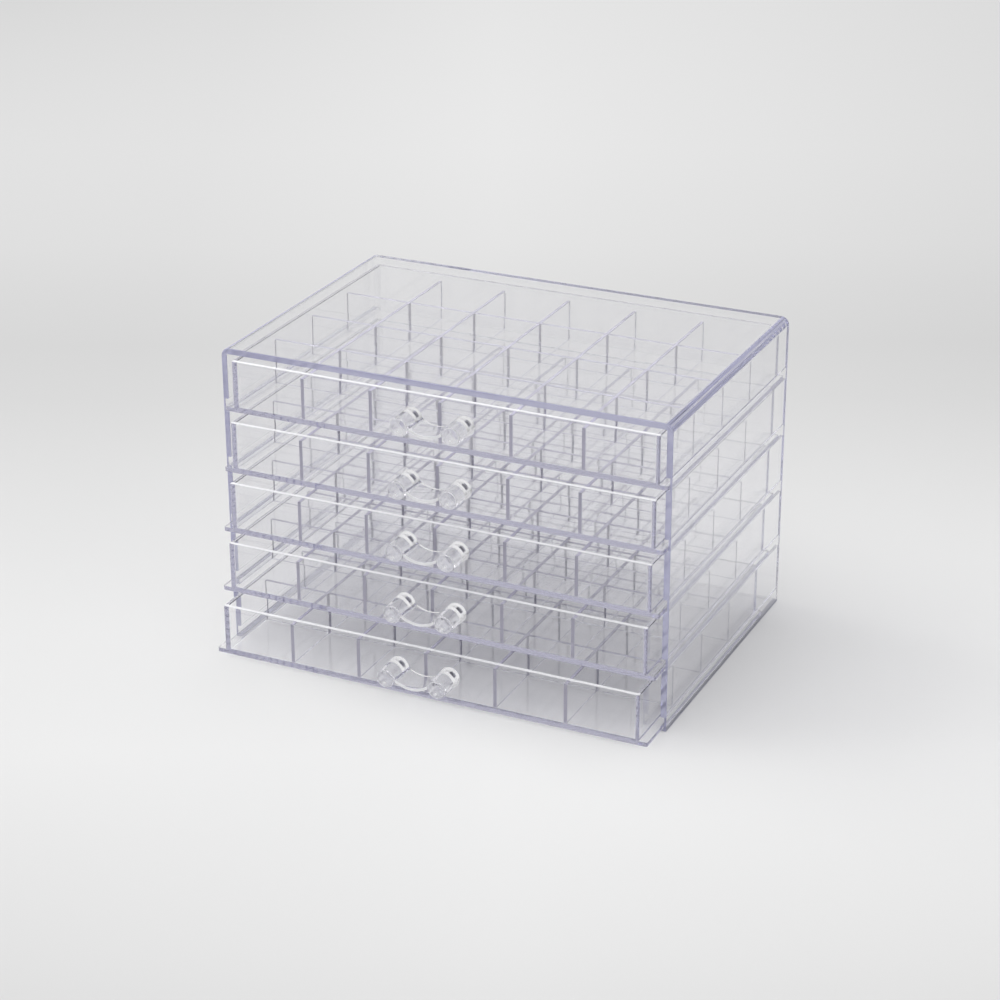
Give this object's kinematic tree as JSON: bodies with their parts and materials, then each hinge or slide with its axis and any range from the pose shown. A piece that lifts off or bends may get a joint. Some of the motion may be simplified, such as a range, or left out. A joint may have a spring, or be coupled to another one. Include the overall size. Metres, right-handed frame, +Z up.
{
  "type": "jewellery organizer",
  "caption": "Clear plastic jewellery organizer: an open-fronted case with stacked drawers that slide in grooves, each split by halved divider strips into small compartments.",
  "frame": {"origin": "on the surface that the organizer stands on, under the middle of the whole object's box in its resting pose, in which the drawers are drawn out in small steps", "axes": "+X across the front to the right, +Y from the front to the back, +Z up"},
  "size_m": [0.24, 0.1958, 0.16],
  "materials": {
    "case_clear": "polished clear, faint violet in its edges",
    "tray_clear": "polished clear, faint violet in its edges",
    "divider_clear": "polished clear, thin strips",
    "handle_clear": "polished clear, moulded"
  },
  "bodies": {
    "case": {"case_shell": "case_clear"},
    "drawer_1": {"drawer_1_tray": "tray_clear", "drawer_1_handle": "handle_clear", "drawer_1_long_divider_1": "divider_clear", "drawer_1_long_divider_2": "divider_clear", "drawer_1_long_divider_3": "divider_clear", "drawer_1_long_divider_4": "divider_clear", "drawer_1_long_divider_5": "divider_clear", "drawer_1_cross_divider_1": "divider_clear", "drawer_1_cross_divider_2": "divider_clear", "drawer_1_cross_divider_3": "divider_clear"},
    "drawer_2": {"drawer_2_tray": "tray_clear", "drawer_2_handle": "handle_clear", "drawer_2_long_divider_1": "divider_clear", "drawer_2_long_divider_2": "divider_clear", "drawer_2_long_divider_3": "divider_clear", "drawer_2_long_divider_4": "divider_clear", "drawer_2_long_divider_5": "divider_clear", "drawer_2_cross_divider_1": "divider_clear", "drawer_2_cross_divider_2": "divider_clear", "drawer_2_cross_divider_3": "divider_clear"},
    "drawer_3": {"drawer_3_tray": "tray_clear", "drawer_3_handle": "handle_clear", "drawer_3_long_divider_1": "divider_clear", "drawer_3_long_divider_2": "divider_clear", "drawer_3_long_divider_3": "divider_clear", "drawer_3_long_divider_4": "divider_clear", "drawer_3_long_divider_5": "divider_clear", "drawer_3_cross_divider_1": "divider_clear", "drawer_3_cross_divider_2": "divider_clear", "drawer_3_cross_divider_3": "divider_clear"},
    "drawer_4": {"drawer_4_tray": "tray_clear", "drawer_4_handle": "handle_clear", "drawer_4_long_divider_1": "divider_clear", "drawer_4_long_divider_2": "divider_clear", "drawer_4_long_divider_3": "divider_clear", "drawer_4_long_divider_4": "divider_clear", "drawer_4_long_divider_5": "divider_clear", "drawer_4_cross_divider_1": "divider_clear", "drawer_4_cross_divider_2": "divider_clear", "drawer_4_cross_divider_3": "divider_clear"},
    "drawer_5": {"drawer_5_tray": "tray_clear", "drawer_5_handle": "handle_clear", "drawer_5_long_divider_1": "divider_clear", "drawer_5_long_divider_2": "divider_clear", "drawer_5_long_divider_3": "divider_clear", "drawer_5_long_divider_4": "divider_clear", "drawer_5_long_divider_5": "divider_clear", "drawer_5_cross_divider_1": "divider_clear", "drawer_5_cross_divider_2": "divider_clear", "drawer_5_cross_divider_3": "divider_clear"}
  },
  "joints": [
    {"name": "drawer_1_slide", "type": "slide", "parent": "case", "child": "drawer_1", "axis": [0, -1, 0], "range_m": [-0.001, 0.119]},
    {"name": "drawer_2_slide", "type": "slide", "parent": "case", "child": "drawer_2", "axis": [0, -1, 0], "range_m": [-0.0046, 0.1154]},
    {"name": "drawer_3_slide", "type": "slide", "parent": "case", "child": "drawer_3", "axis": [0, -1, 0], "range_m": [-0.0082, 0.1118]},
    {"name": "drawer_4_slide", "type": "slide", "parent": "case", "child": "drawer_4", "axis": [0, -1, 0], "range_m": [-0.0118, 0.1082]},
    {"name": "drawer_5_slide", "type": "slide", "parent": "case", "child": "drawer_5", "axis": [0, -1, 0], "range_m": [-0.0199, 0.1001]}
  ]
}
